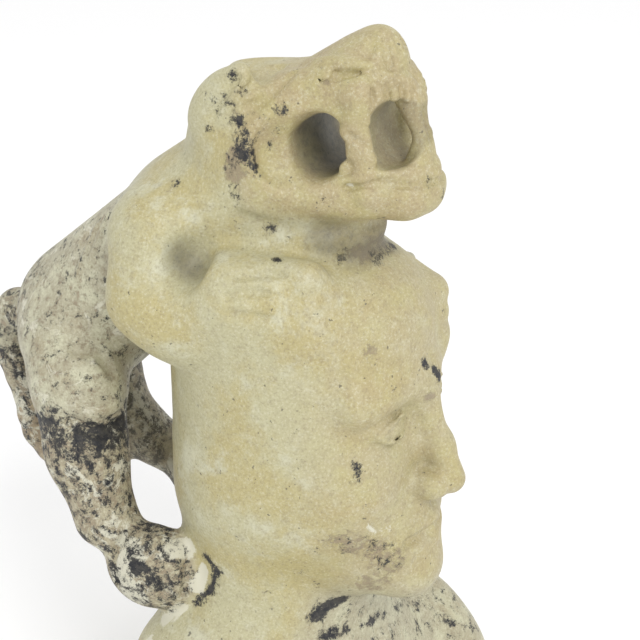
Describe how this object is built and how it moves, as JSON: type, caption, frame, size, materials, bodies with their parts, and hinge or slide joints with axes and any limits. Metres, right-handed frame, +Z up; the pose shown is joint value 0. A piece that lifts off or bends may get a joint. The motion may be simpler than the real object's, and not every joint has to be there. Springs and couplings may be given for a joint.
{
  "type": "carved stone bust with a climbing big feline",
  "caption": "Carved stone bust of a calm warrior with a snarling big feline climbing over the back of the head, cut flat below so that it stands on a table",
  "frame": {"origin": "on the flat underside, below the middle of the warrior's neck", "axes": "+Z up, -Y the way the warrior faces, +X to the warrior's left"},
  "size_m": [0.156, 0.1627, 0.248],
  "materials": {
    "stone": "satin-polished mottled stone, pale yellow-green with tan, grey and dark veins"
  },
  "bodies": {
    "root": {"warrior_with_feline": "stone"}
  },
  "joints": []
}
